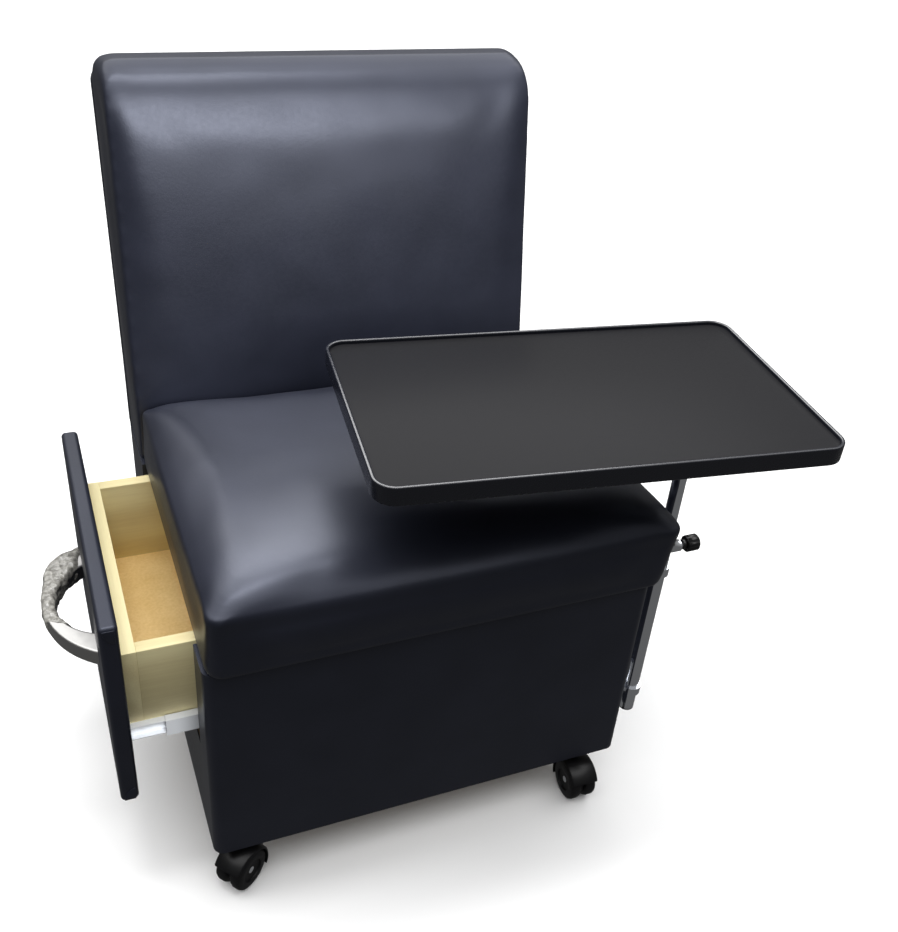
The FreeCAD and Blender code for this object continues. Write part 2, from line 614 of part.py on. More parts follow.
node("drawer_panel", cut(panel_block, *handle_screw_holes(PANEL_X, "panel_thick")))


def bow_outline(body):
    """The handle seen from above: an outer and an inner arc on two feet."""
    sketch = new_sketch(body, "XY_Plane")
    stops = ("0", "handle_foot", "handle_span - handle_foot", "handle_span")
    spots = [FreeCAD.Vector(0, number(stop), 0) for stop in stops]
    crest = number("handle_span / 2")
    outer_crest = FreeCAD.Vector(number("handle_reach"), crest, 0)
    outer = sketch.addGeometry(Part.Arc(spots[0], outer_crest, spots[3]))
    inner_crest = FreeCAD.Vector(number("handle_reach - handle_waist"), crest, 0)
    inner = sketch.addGeometry(Part.Arc(spots[1], inner_crest, spots[2]))
    near_foot = sketch.addGeometry(Part.LineSegment(spots[0], spots[1]))
    far_foot = sketch.addGeometry(Part.LineSegment(spots[2], spots[3]))
    joins = ((near_foot, 1, outer, 1), (near_foot, 2, inner, 1),
             (far_foot, 1, inner, 2), (far_foot, 2, outer, 2))
    for ends in joins:
        sketch.addConstraint(Sketcher.Constraint("Coincident", *ends))
    for line, end, stop in ((near_foot, 1, 0), (near_foot, 2, 1), (far_foot, 1, 2), (far_foot, 2, 3)):
        sketch.addConstraint(Sketcher.Constraint("PointOnObject", line, end, -2))
        at = sketch.addConstraint(Sketcher.Constraint("DistanceY", -1, 1, line, end, number(stops[stop])))
        sketch.setExpression(f"Constraints[{at}]", formula(stops[stop]))
    inner_size = ("(handle_span - 2 * handle_foot)", "(handle_reach - handle_waist)")
    for arc, (span, rise) in ((outer, ("handle_span", "handle_reach")), (inner, inner_size)):
        radius = f"(({span} / 2) ^ 2 + {rise} ^ 2) / (2 * {rise})"
        at = sketch.addConstraint(Sketcher.Constraint("Radius", arc, number(radius)))
        sketch.setExpression(f"Constraints[{at}]", formula(radius))
    return sketch


handle = new_body("handle")
pad(handle, bow_outline(handle), "handle_width")
round_off(handle, "handle_edge", lambda edge: round_edge(edge) and edge.Length > SIZE["handle_reach"])
turn(handle, (0, 0, 1), 180)
place(handle, PANEL_X, f"{handle_y} + handle_span / 2", "handle_height - handle_width / 2")
bite_x = f"({PANEL_X} - handle_screw_bite)"
node("drawer_handle", cut(handle, *handle_screw_holes(bite_x, "handle_screw_bite")))
handle_screws = []
for y in handle_screw_ys:
    shank = rod("handle_screw_radius", f"{front_inside} - {bite_x}", (bite_x, y, "handle_height"), "x")
    head = rod("handle_screw_head", "handle_screw_head_height", (front_inside, y, "handle_height"), "x")
    handle_screws.append(fuse(shank, head))
node("handle_screws", group(*handle_screws))

# Telescopic slides: three nested rails on each side of the drawer
nest = "(sheet + clearance)"
outer_x = "(base_left + slide_setback)"
RAILS = {
    "cabinet_rail": ("0", "outer_reach", "slide_height", outer_x),
    "middle_rail": ("middle_web", "middle_reach", f"(slide_height - 2 * {nest})",
                    f"{outer_x} - drawer_out / 2"),
    "drawer_rail": ("slide_gap", "inner_lips", f"(slide_height - 4 * {nest})", DRAWER_X),
}


def channel_points(back, lips, height, outward):
    """A rolled channel's section: its web at the back, two lips, all within the slide's gap."""
    front = f"({back} {outward} sheet)"
    return [(back, "0"), (lips, "0"), (lips, "sheet"), (front, "sheet"), (front, f"{height} - sheet"),
            (lips, f"{height} - sheet"), (lips, height), (back, height)]


for kind, (back, lips, height, x) in RAILS.items():
    toward_drawer = kind != "drawer_rail"
    for side, start in (("front", OPENING_NEAR), ("rear", DRAWER_FAR)):
        if side == "front":
            section = channel_points(back, lips, height, "+" if toward_drawer else "-")
        else:
            section = channel_points(f"(slide_gap - {back})", f"(slide_gap - {lips})", height,
                                     "-" if toward_drawer else "+")
        rail = new_body(f"{kind}_{side}_form")
        pad(rail, outline(rail, "YZ_Plane", section), "slide_length")
        node(f"{kind}_{side}", place(rail, x, start, f"slide_middle - {height} / 2"))

# Column on the base's right side: tube with its clamp boss, brackets, plug, mast and clamp screw
tube = rod("column_radius", "column_length", (COLUMN_X, COLUMN_Y, "column_bottom"))
boss = rod("boss_radius", "column_radius + boss_length", (COLUMN_X, COLUMN_Y, "clamp_height"), "x")
tube_hollow = rod(COLUMN_BORE, "column_length", (COLUMN_X, COLUMN_Y, "column_bottom"))
stud_hole = rod("stud_radius + stud_fit", "column_radius + boss_length",
                (COLUMN_X, COLUMN_Y, "clamp_height"), "x")
node("column_tube", cut(fuse(tube, boss), tube_hollow, stud_hole))
brackets = []
bracket_screws = []
wall_holes = []
skin_holes = []


def bracket_shank(z):
    """A rod in the place of a bracket screw's shank."""
    return rod("bracket_screw_radius", "bracket_screw_bite + cover + bracket_plate",
               (f"{BASE_RIGHT} - cover - bracket_screw_bite", COLUMN_Y, z), "x")


for height in ("bracket_upper", "bracket_lower"):
    ring_foot = f"{height} - bracket_ring / 2"
    foot = fillet(box(("bracket_plate", "bracket_width", "bracket_height"),
                      (BASE_RIGHT, f"{COLUMN_Y} - bracket_width / 2", f"{height} - bracket_height / 2")),
                  "bracket_plate_corner", runs_along((1, 0, 0)))
    web = box(("column_offset", "bracket_web", "bracket_ring"),
              (BASE_RIGHT, f"{COLUMN_Y} - bracket_web / 2", ring_foot))
    ring = rod("column_radius + bracket_ring_wall", "bracket_ring", (COLUMN_X, COLUMN_Y, ring_foot))
    eye = rod("column_radius", "bracket_ring", (COLUMN_X, COLUMN_Y, ring_foot))
    plate_holes = []
    for sign in "-+":
        z = f"{height} {sign} bracket_screw_step / 2"
        for holes in (plate_holes, wall_holes, skin_holes):
            holes.append(bracket_shank(z))
        head = rod("bracket_screw_head", "bracket_screw_head_height",
                   (f"{BASE_RIGHT} + bracket_plate", COLUMN_Y, z), "x")
        bracket_screws.append(fuse(bracket_shank(z), head))
    brackets.append(cut(fuse(foot, web, ring), eye, *plate_holes))
node("base_right_board", cut(right_wall, *wall_holes))
node("base_cover", cut(skin, *skin_holes))
node("column_brackets", group(*brackets))
node("column_bracket_screws", group(*bracket_screws))
plug = rod(COLUMN_BORE, "plug_length", (COLUMN_X, COLUMN_Y, "column_bottom"))
plug_rim = rod("column_radius", "plug_rim", (COLUMN_X, COLUMN_Y, "column_bottom - plug_rim"))
node("column_foot_plug", fuse(plug, plug_rim))
mast_length = f"({FLANGE_BOTTOM} - clearance - mast_bottom)"
mast_stock = rod("mast_radius", mast_length, (COLUMN_X, COLUMN_Y, "mast_bottom"))
mast_hollow = rod("mast_radius - mast_wall", mast_length, (COLUMN_X, COLUMN_Y, "mast_bottom"))
node("mast_tube", cut(mast_stock, mast_hollow))

knob_x = f"({COLUMN_X} + column_radius + boss_length + knob_gap)"
stud_tip = f"({COLUMN_X} + mast_radius + clearance)"
stud_length = f"{knob_x} + knob_socket - {stud_tip}"
node("clamp_stud", rod("stud_radius", stud_length, (stud_tip, COLUMN_Y, "clamp_height"), "x"))
knob = new_body("knob")
knob_points = [("stud_radius", "0"), ("knob_neck_radius", "0"), ("knob_neck_radius", "knob_neck"),
               ("knob_radius - knob_edge", "knob_neck"), ("knob_radius", "knob_neck + knob_edge"),
               ("knob_radius", "knob_length - knob_edge"), ("knob_radius - knob_edge", "knob_length"),
               ("0", "knob_length"), ("0", "knob_socket"), ("stud_radius", "knob_socket")]
revolve(knob, outline(knob, "XZ_Plane", knob_points))
turn(knob, (0, 1, 0), 90)
place(knob, knob_x, COLUMN_Y, "clamp_height")
flute_circle = "(knob_radius + knob_flute - knob_flute_depth)"
flutes = []
for step in range(8):
    flute_y = f"{COLUMN_Y} + {flute_circle} * cos({step} * 45deg)"
    flute_z = f"clamp_height + {flute_circle} * sin({step} * 45deg)"
    flutes.append(rod("knob_flute", "knob_length", (f"{knob_x} + knob_neck", flute_y, flute_z), "x"))
node("clamp_knob", cut(knob, *flutes))


# Tray: built square to the column's axis, then turned about it
def on_column(thing):
    """Moves a piece from the tray's own square frame onto the column."""
    turn(thing, (0, 0, 1), "tray_turn")
    return place(thing, COLUMN_X, COLUMN_Y, 0)


board_size = ("tray_length - 2 * tray_rim", "tray_width - 2 * tray_rim")
tray_corner = ("(tray_end - tray_length)", "(-tray_width / 2)")
board_corner = tuple(f"({side} + tray_rim)" for side in tray_corner)
rim_bottom = "(tray_top - tray_rim_height)"
screw_circle = [(f"tray_screw_circle * cos({angle}deg)", f"tray_screw_circle * sin({angle}deg)")
                for angle in (45, 135, 225, 315)]
board_stock = slab((*board_size, "tray_board"), (*board_corner, BOARD_BOTTOM), "tray_corner - tray_rim")
pilot_holes = [rod("tray_screw_radius", "tray_screw_bite", (x, y, BOARD_BOTTOM)) for x, y in screw_circle]
node("tray_board", on_column(cut(board_stock, *pilot_holes)))
rim_block = slab(("tray_length", "tray_width", "tray_rim_height"), (*tray_corner, rim_bottom), "tray_corner")
rim_stock = fillet(rim_block, "tray_rim_edge", lambda edge: not upright(edge))
rim_hollow = slab((*board_size, "tray_rim_height"), (*board_corner, rim_bottom), "tray_corner - tray_rim")
node("tray_edge_trim", on_column(cut(rim_stock, rim_hollow)))
flange_stock = rod("flange_radius", "flange", (0, 0, FLANGE_BOTTOM))
sleeve_foot = f"{FLANGE_BOTTOM} - socket_length"
sleeve = rod("socket_radius", "socket_length", (0, 0, sleeve_foot))
sleeve_bore = rod(COLUMN_BORE, "socket_length", (0, 0, sleeve_foot))
flange_holes = [rod("tray_screw_radius", "flange", (x, y, FLANGE_BOTTOM)) for x, y in screw_circle]
node("tray_socket", on_column(cut(fuse(flange_stock, sleeve), sleeve_bore, *flange_holes)))
tray_screws = [screw("tray_screw_radius", "flange + tray_screw_bite", "tray_screw_head",
                     "tray_screw_head_height", (x, y, FLANGE_BOTTOM)) for x, y in screw_circle]
node("tray_screws", on_column(group(*tray_screws)))

# Casters: twin wheels under a hood, swivelling under a screwed plate
hollow_radius = "(wheel_radius + hood_air)"
hood_radius = f"({hollow_radius} + hood_wall)"
wheel_inner = "(web / 2 + wheel_gap)"
hood_half = f"({wheel_inner} + wheel_width + wheel_gap)"
axle_half = f"({wheel_inner} + wheel_width - wheel_dish)"
dome_foot = "(base_lift - plate - dome)"
neck_top = f"({dome_foot} - clearance)"
neck_foot = "(wheel_radius + hood_air)"


def caster_wheel(name, side):
    """One wheel: a tread with two bevels at each edge, a dished outer face and a plain bore."""
    body = new_body(name)
    bore = "(axle_radius + axle_fit)"
    shoulder, flank = "(wheel_radius - 0.3 * wheel_edge)", "(wheel_radius - wheel_edge)"
    points = [(bore, "0"), (flank, "0"), (shoulder, "0.3 * wheel_edge"), ("wheel_radius", "wheel_edge"),
              ("wheel_radius", "wheel_width - wheel_edge"), (shoulder, "wheel_width - 0.3 * wheel_edge"),
              (flank, "wheel_width"), ("wheel_dish_radius", "wheel_width"),
              ("wheel_dish_radius", "wheel_width - wheel_dish"), (bore, "wheel_width - wheel_dish")]
    revolve(body, outline(body, "XZ_Plane", points))
    turn(body, (1, 0, 0), -90 if side == "+" else 90)
    return place(body, "caster_trail", f"{side} {wheel_inner}", "wheel_radius")


def caster_housing():
    """The hood over the wheels, its neck and swivel pin, and the web that holds the axle."""
    drum = rod(hood_radius, f"2 * {hood_half}", ("caster_trail", f"-{hood_half}", "wheel_radius"), "y")
    hood = fillet(drum, "hood_edge", round_edge, "Part::Chamfer")
    cosine, sine = "cos(hood_tilt * 1deg)", "sin(hood_tilt * 1deg)"
    below_hood = box((f"4 * {hood_radius}", f"4 * {hood_half}", f"2 * {hood_radius}"))
    open_side = turn(below_hood, (0, 1, 0), "-hood_tilt")
    place(open_side, f"caster_trail + 2 * {hood_radius} * ({sine} - {cosine})", f"-2 * {hood_half}",
          f"wheel_radius - 2 * {hood_radius} * ({sine} + {cosine})")
    neck = rod("neck_radius", f"{neck_top} - {neck_foot}", (0, 0, neck_foot))
    hollows = [rod(hollow_radius, hood_half, ("caster_trail", start, "wheel_radius"), "y")
               for start in ("web / 2", f"-web / 2 - {hood_half}")]
    shell = cut(fuse(cut(hood, open_side), neck), *hollows)
    web_disc = rod("web_radius", "web", ("caster_trail", "-web / 2", "wheel_radius"), "y")
    kingpin = rod("kingpin_radius", "kingpin_length", (0, 0, neck_top))
    axle_hole = rod("axle_radius", "web", ("caster_trail", "-web / 2", "wheel_radius"), "y")
    return cut(fuse(shell, web_disc, kingpin), axle_hole)


plates = []
plate_screws = []
for corner in ("front_left", "front_right", "rear_left", "rear_right"):
    x = "(base_left + caster_inset_x)" if corner.endswith("left") else f"({BASE_RIGHT} - caster_inset_x)"
    y = "(base_front + caster_inset_y)" if corner.startswith("front") else f"({BASE_REAR} - caster_inset_y)"
    pieces = {
        "housing": caster_housing(),
        "axle": rod("axle_radius", f"2 * {axle_half}",
                    ("caster_trail", f"-{axle_half}", "wheel_radius"), "y"),
        "wheels": group(caster_wheel(f"{corner}_left_wheel", "+"),
                        caster_wheel(f"{corner}_right_wheel", "-")),
    }
    for kind, piece in pieces.items():
        shared = group(piece) if kind == "axle" else piece
        node(f"caster_{corner}_{kind}", place(turn(shared, (0, 0, 1), f"turn_{corner}"), x, y, 0))
    plate_foot = "base_lift - plate"
    flat = slab(("plate_side", "plate_side", "plate"),
                (f"{x} - plate_side / 2", f"{y} - plate_side / 2", plate_foot), "plate_corner")
    dome = rod("dome_radius", "dome", (x, y, dome_foot))
    bore = rod("kingpin_radius + kingpin_fit", "dome + plate", (x, y, dome_foot))
    holes = []
    for sign_x in "-+":
        for sign_y in "-+":
            spot = (f"{x} {sign_x} plate_screw_step / 2", f"{y} {sign_y} plate_screw_step / 2", plate_foot)
            holes.append(rod("plate_screw_radius", "plate", spot))
            plate_screws.append(screw("plate_screw_radius", "plate", "plate_screw_head",
                                      "plate_screw_head_height", spot))
    plates.append(cut(fuse(flat, dome), bore, *holes))
node("caster_plates", group(*plates))
node("caster_screws", group(*plate_screws))

doc.recompute()
failed = [item.Label for item in doc.Objects if "Invalid" in item.State or "Error" in item.State]
failed += [item.Label for item in NODES if item.Shape.isNull() or not item.Shape.isValid()]
if failed:
    raise RuntimeError("not built: " + ", ".join(failed))
os.makedirs("parts", exist_ok=True)
for item in NODES:
    item.Shape.exportStep(f"parts/{item.Label}.step")
print(len(NODES), "nodes written")
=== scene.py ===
"""Looks of the manicure chair: upholstered pads, wrapped panels, pine drawer, chrome column,
edged tray and black casters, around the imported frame. Metres, +Z up, the chair faces -Y."""

import json
import math

import bmesh
import bpy
import numpy as np
from mathutils import Matrix, Vector, noise


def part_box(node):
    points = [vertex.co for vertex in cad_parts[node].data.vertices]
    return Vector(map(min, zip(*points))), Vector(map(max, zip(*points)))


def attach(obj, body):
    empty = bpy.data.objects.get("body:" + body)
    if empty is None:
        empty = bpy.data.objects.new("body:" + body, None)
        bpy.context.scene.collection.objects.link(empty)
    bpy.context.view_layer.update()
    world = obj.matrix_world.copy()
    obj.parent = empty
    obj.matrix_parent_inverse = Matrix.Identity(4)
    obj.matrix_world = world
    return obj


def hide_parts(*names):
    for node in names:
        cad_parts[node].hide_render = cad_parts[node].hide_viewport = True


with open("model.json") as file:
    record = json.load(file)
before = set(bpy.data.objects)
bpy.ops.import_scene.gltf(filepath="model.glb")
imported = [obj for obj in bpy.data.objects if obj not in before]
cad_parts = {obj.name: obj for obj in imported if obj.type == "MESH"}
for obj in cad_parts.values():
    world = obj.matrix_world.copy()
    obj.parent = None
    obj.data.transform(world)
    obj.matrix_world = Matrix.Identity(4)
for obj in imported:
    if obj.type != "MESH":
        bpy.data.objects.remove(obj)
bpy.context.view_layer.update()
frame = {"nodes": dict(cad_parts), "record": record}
MM = 0.001


# Small helpers

def linear(code):
    """An sRGB hex colour as linear RGBA."""
    levels = [int(code[place:place + 2], 16) / 255 for place in (0, 2, 4)]
    return (*[c / 12.92 if c <= 0.04045 else ((c + 0.055) / 1.055) ** 2.4 for c in levels], 1.0)


def add(tree, kind, inputs=None, **settings):
    """A new node with its settings. An input is a value, or the socket that is linked to it."""
    made = tree.nodes.new(kind)
    for name, value in settings.items():
        setattr(made, name, value)
    for name, value in (inputs or {}).items():
        if isinstance(value, bpy.types.NodeSocket):
            tree.links.new(value, made.inputs[name])
        else:
            made.inputs[name].default_value = value
    return made


def points_of(piece):
    """The piece's vertices as an array of points."""
    spots = np.zeros(len(piece.data.vertices) * 3, np.float32)
    piece.data.vertices.foreach_get("co", spots)
    return spots.reshape(-1, 3).astype(float)


def set_points(piece, spots):
    """Moves the piece's vertices to these points."""
    piece.data.vertices.foreach_set("co", np.asarray(spots, np.float32).ravel())
    piece.data.update()


def normals_of(piece):
    """The piece's vertex normals as an array."""
    found = np.zeros(len(piece.data.vertices) * 3, np.float32)
    piece.data.vertex_normals.foreach_get("vector", found)
    return found.reshape(-1, 3).astype(float)


def new_piece(name, data):
    """A new object in the scene with this mesh, lamp or camera."""
    made = bpy.data.objects.new(name, data)
    bpy.context.scene.collection.objects.link(made)
    return made


def settle(piece):
    """Puts what the modifiers give into the piece's own mesh."""
    depsgraph = bpy.context.evaluated_depsgraph_get()
    mesh = bpy.data.meshes.new_from_object(piece.evaluated_get(depsgraph))
    piece.modifiers.clear()
    piece.data = mesh


def modified(piece, kind, **settings):
    """Runs one modifier on the piece and keeps its result."""
    made = piece.modifiers.new(kind.lower(), kind)
    for name, value in settings.items():
        setattr(made, name, value)
    settle(piece)


def shaded(piece, crease=35):
    """Smooth shading that stays sharp where faces meet at more than the crease angle."""
    piece.data.shade_smooth()
    piece.data.set_sharp_from_angle(angle=math.radians(crease))


def welded_copy(node, name):
    """A copy of a CAD node with its loose triangles joined and its flat faces made whole."""
    mesh = frame["nodes"][node].data.copy()
    mesh.materials.clear()
    form = bmesh.new()
    form.from_mesh(mesh)
    bmesh.ops.remove_doubles(form, verts=form.verts, dist=0.02 * MM)
    bmesh.ops.dissolve_limit(form, angle_limit=math.radians(0.3), verts=form.verts, edges=form.edges)
    form.to_mesh(mesh)
    form.free()
    return new_piece(name, mesh)


def dress(piece, body, slot, material, *nodes):
    """Gives a finished piece its material and its body, and hides the nodes that it stands for. The slot is
    not used.
    """
    piece.data.materials.clear()
    piece.data.materials.append(material)
    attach(piece, body)
    if nodes:
        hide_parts(*nodes)
    return piece


BODY_OF = {node: body for body, nodes in frame["record"]["behaviour"]["bodies"].items() for node in nodes}


# Materials

def new_material(name):
    """An empty material with its output, its shader and Object coordinates."""
    made = bpy.data.materials.new(name)
    made.use_nodes = True
    tree = made.node_tree
    tree.nodes.clear()
    shader = add(tree, "ShaderNodeBsdfPrincipled")
    add(tree, "ShaderNodeOutputMaterial", {"Surface": shader.outputs["BSDF"]})
    place = add(tree, "ShaderNodeTexCoord").outputs["Object"]
    return made, tree, shader, place


def per_mm(size):
    """The texture scale that gives a feature of that many millimetres."""
    return 1000.0 / size


def navy_leathercloth():
    """PVC leathercloth, calendered and embossed: nearly black navy with a soft bluish sheen.
    The real pebble grain is about 0.8 mm and is drawn at 1.8 mm so that it shows at this size."""
    made, tree, shader, place = new_material("navy_pvc_leathercloth_embossed")
    grain = add(tree, "ShaderNodeTexVoronoi", {"Vector": place, "Scale": per_mm(1.8), "Randomness": 0.9})
    crease = add(tree, "ShaderNodeTexNoise", {"Vector": place, "Scale": per_mm(4.5), "Detail": 3.0})
    cloud = add(tree, "ShaderNodeTexNoise", {"Vector": place, "Scale": per_mm(70), "Detail": 2.0})
    tone = add(tree, "ShaderNodeValToRGB", {"Fac": cloud.outputs["Fac"]})
    tone.color_ramp.elements[0].position = 0.3
    tone.color_ramp.elements[0].color = linear("181a23")
    tone.color_ramp.elements[1].position = 0.75
    tone.color_ramp.elements[1].color = linear("1e202a")
    rough = add(tree, "ShaderNodeMapRange", {"Value": crease.outputs["Fac"], "To Min": 0.33, "To Max": 0.42})
    fine = add(tree, "ShaderNodeBump", {"Height": grain.outputs["Distance"], "Strength": 0.15,
                                        "Distance": 0.15 * MM})
    soft = add(tree, "ShaderNodeBump", {"Height": crease.outputs["Fac"], "Strength": 0.15,
                                        "Distance": 0.3 * MM, "Normal": fine.outputs["Normal"]})
    tree.links.new(tone.outputs["Color"], shader.inputs["Base Color"])
    tree.links.new(rough.outputs["Result"], shader.inputs["Roughness"])
    tree.links.new(soft.outputs["Normal"], shader.inputs["Normal"])
    shader.inputs["Specular Tint"].default_value = linear("e4eaff")
    return made


def planed_pine(along):
    """Pine boards, planed and left bare: pale yellow with faint growth bands that run along the board."""
    made, tree, shader, place = new_material(f"planed_pine_along_{along}")
    turn = (0, 0, 0) if along == "x" else (0, 0, math.radians(90))
    laid = add(tree, "ShaderNodeMapping", {"Vector": place, "Rotation": turn})
    long = add(tree, "ShaderNodeMapping", {"Vector": laid.outputs["Vector"], "Scale": (0.05, 1, 1)})
    bands = add(tree, "ShaderNodeTexWave", {"Vector": long.outputs["Vector"], "Scale": per_mm(90),
                                            "Distortion": 7.0, "Detail": 3.0, "Detail Scale": 1.5},
                bands_direction="DIAGONAL")
    fibre = add(tree, "ShaderNodeTexNoise", {"Vector": long.outputs["Vector"], "Scale": per_mm(2),
                                             "Detail": 4.0})
    grain = add(tree, "ShaderNodeMix", {"Factor": 0.55, "A": bands.outputs["Fac"], "B": fibre.outputs["Fac"]})
    tone = add(tree, "ShaderNodeValToRGB", {"Fac": grain.outputs["Result"]})
    tone.color_ramp.elements[0].position = 0.15
    tone.color_ramp.elements[0].color = linear("d9ca98")
    tone.color_ramp.elements[1].position = 0.75
    tone.color_ramp.elements[1].color = linear("eadfae")
    bump = add(tree, "ShaderNodeBump", {"Height": fibre.outputs["Fac"], "Strength": 0.2,
                                        "Distance": 0.2 * MM})
    tree.links.new(tone.outputs["Color"], shader.inputs["Base Color"])
    tree.links.new(bump.outputs["Normal"], shader.inputs["Normal"])
    shader.inputs["Roughness"].default_value = 0.55
    return made


def pressed_board(name, dark, light):
    """Hardboard or chipboard: short pressed fibres, matt, with a mottled tan tone."""
    made, tree, shader, place = new_material(name)
    fleck = add(tree, "ShaderNodeTexNoise", {"Vector": place, "Scale": per_mm(3), "Detail": 5.0})
    cloud = add(tree, "ShaderNodeTexNoise", {"Vector": place, "Scale": per_mm(45), "Detail": 2.0})
    both = add(tree, "ShaderNodeMix", {"Factor": 0.5, "A": fleck.outputs["Fac"], "B": cloud.outputs["Fac"]})
    tone = add(tree, "ShaderNodeValToRGB", {"Fac": both.outputs["Result"]})
    tone.color_ramp.elements[0].position = 0.3
    tone.color_ramp.elements[0].color = linear(dark)
    tone.color_ramp.elements[1].position = 0.7
    tone.color_ramp.elements[1].color = linear(light)
    bump = add(tree, "ShaderNodeBump", {"Height": fleck.outputs["Fac"], "Strength": 0.2,
                                        "Distance": 0.2 * MM})
    tree.links.new(tone.outputs["Color"], shader.inputs["Base Color"])
    tree.links.new(bump.outputs["Normal"], shader.inputs["Normal"])
    shader.inputs["Roughness"].default_value = 0.62
    return made


def plated_metal(name, colour, smooth, worn, streak, metal=1.0):
    """Plated steel: its gloss wanders between two roughness values in patches of that size in mm."""
    made, tree, shader, place = new_material(name)
    patch = add(tree, "ShaderNodeTexNoise", {"Vector": place, "Scale": per_mm(streak), "Detail": 3.0})
    rough = add(tree, "ShaderNodeMapRange", {"Value": patch.outputs["Fac"], "To Min": smooth, "To Max": worn})
    tree.links.new(rough.outputs["Result"], shader.inputs["Roughness"])
    shader.inputs["Base Color"].default_value = linear(colour)
    shader.inputs["Metallic"].default_value = metal
    return made


def moulded_plastic(name, colour, rough, texture, shine=0.5):
    """Moulded plastic: dark, with the fine sparked texture of its mould, of that size in mm."""
    made, tree, shader, place = new_material(name)
    spark = add(tree, "ShaderNodeTexNoise", {"Vector": place, "Scale": per_mm(texture), "Detail": 2.0})
    gloss = add(tree, "ShaderNodeMapRange", {"Value": spark.outputs["Fac"], "To Min": rough - 0.06,
                                             "To Max": rough + 0.06})
    bump = add(tree, "ShaderNodeBump", {"Height": spark.outputs["Fac"], "Strength": 0.1,
                                        "Distance": 0.05 * MM})
    tree.links.new(gloss.outputs["Result"], shader.inputs["Roughness"])
    tree.links.new(bump.outputs["Normal"], shader.inputs["Normal"])
    shader.inputs["Base Color"].default_value = linear(colour)
    shader.inputs["Specular IOR Level"].default_value = shine
    return made


def crumpled_film():
    """Thin polythene packing film, crumpled by hand: grey and cloudy, with small bright glints."""
    made, tree, shader, place = new_material("packing_film_crumpled")
    fold = add(tree, "ShaderNodeTexVoronoi", {"Vector": place, "Scale": per_mm(7), "Randomness": 1.0})
    crackle = add(tree, "ShaderNodeTexNoise", {"Vector": place, "Scale": per_mm(5), "Detail": 4.0,
                                               "Roughness": 0.7})
    tone = add(tree, "ShaderNodeValToRGB", {"Fac": crackle.outputs["Fac"]})
    tone.color_ramp.elements[0].position = 0.35
    tone.color_ramp.elements[0].color = linear("6f6d68")
    tone.color_ramp.elements[1].position = 0.7
    tone.color_ramp.elements[1].color = linear("aeaca5")
    large = add(tree, "ShaderNodeBump", {"Height": fold.outputs["Distance"], "Strength": 0.9,
                                         "Distance": 2.5 * MM})
    small = add(tree, "ShaderNodeBump", {"Height": crackle.outputs["Fac"], "Strength": 0.7,
                                         "Distance": 1 * MM, "Normal": large.outputs["Normal"]})
    tree.links.new(tone.outputs["Color"], shader.inputs["Base Color"])
    tree.links.new(small.outputs["Normal"], shader.inputs["Normal"])
    shader.inputs["Roughness"].default_value = 0.16
    shader.inputs["Specular IOR Level"].default_value = 0.8
    return made


VINYL = navy_leathercloth()
PINE_X, PINE_Y = planed_pine("x"), planed_pine("y")
HARDBOARD = pressed_board("drawer_floor_hardboard", "dab571", "f0d092")
CHIPBOARD = pressed_board("carcass_chipboard_sawn", "7d6b54", "a08c72")
ZINC = plated_metal("zinc_plated_steel_rolled", "c9ccd0", 0.25, 0.42, 12, 0.4)
CHROME = plated_metal("chromed_steel_tube_polished", "e9ebef", 0.05, 0.14, 25)
NICKEL = plated_metal("handle_zinc_alloy_satin", "b0afad", 0.25, 0.4, 8)
LAMINATE = moulded_plastic("tray_laminate_charcoal_satin", "202022", 0.36, 2.5, 0.09)
EDGING = moulded_plastic("tray_pvc_edging_black", "10121a", 0.26, 2)
NYLON = moulded_plastic("caster_nylon_black_moulded", "0a0a0c", 0.36, 1.5, 0.3)
TREAD = moulded_plastic("caster_tread_black_rubber", "0c0c0e", 0.5, 1.2, 0.3)
KNOB = moulded_plastic("clamp_knob_black_phenolic", "0d0d0f", 0.3, 2)
FILM = crumpled_film()


# Rigid pieces: welded copies of the CAD nodes with their edges eased, as a maker eases them

def eased(node, material, slot, edge, steps=2):
    """A rigid piece in a node's shape with its sharp edges rounded by that many millimetres."""
    piece = welded_copy(node, f"{node}_finished")
    if edge:
        modified(piece, "BEVEL", width=edge * MM, segments=steps, limit_method="ANGLE",
                 angle_limit=math.radians(50), use_clamp_overlap=True)
    shaded(piece)
    return dress(piece, BODY_OF[node], slot, material, node)


for wall in ("drawer_side_front", "drawer_side_rear"):
    eased(wall, PINE_X, "drawer_pine", 0.7)
for wall in ("drawer_front_wall", "drawer_back_wall"):
    eased(wall, PINE_Y, "drawer_pine", 0.7)
eased("drawer_bottom", HARDBOARD, "drawer_pine", 0.3)
eased("base_cover", VINYL, "navy_vinyl", 0)
eased("back_rear_panel", VINYL, "navy_vinyl", 2.5)
eased("drawer_panel", VINYL, "navy_vinyl", 0)
eased("tray_board", LAMINATE, "tray_laminate", 0.3)
eased("tray_edge_trim", EDGING, "tray_edging", 1.7, 4)
for rail in ("cabinet_rail", "middle_rail", "drawer_rail"):
    for side in ("front", "rear"):
        eased(f"{rail}_{side}", ZINC, "zinc_steel", 0)
for tube in ("column_tube", "column_brackets", "mast_tube", "tray_socket"):
    eased(tube, CHROME, "chrome", 0)
for corner in ("front_left", "front_right", "rear_left", "rear_right"):
    eased(f"caster_{corner}_housing", NYLON, "black_plastic", 0.4)
    eased(f"caster_{corner}_wheels", TREAD, "black_plastic", 0.4)
    eased(f"caster_{corner}_axle", ZINC, "zinc_steel", 0)
eased("clamp_knob", KNOB, "black_plastic", 0)
eased("column_foot_plug", NYLON, "black_plastic", 0.4)
eased("drawer_handle", NICKEL, "handle_metal", 0)
eased("caster_plates", ZINC, "zinc_steel", 0)


# What an upholsterer and a packer add: turned-in skin, folded corners and film round the handle

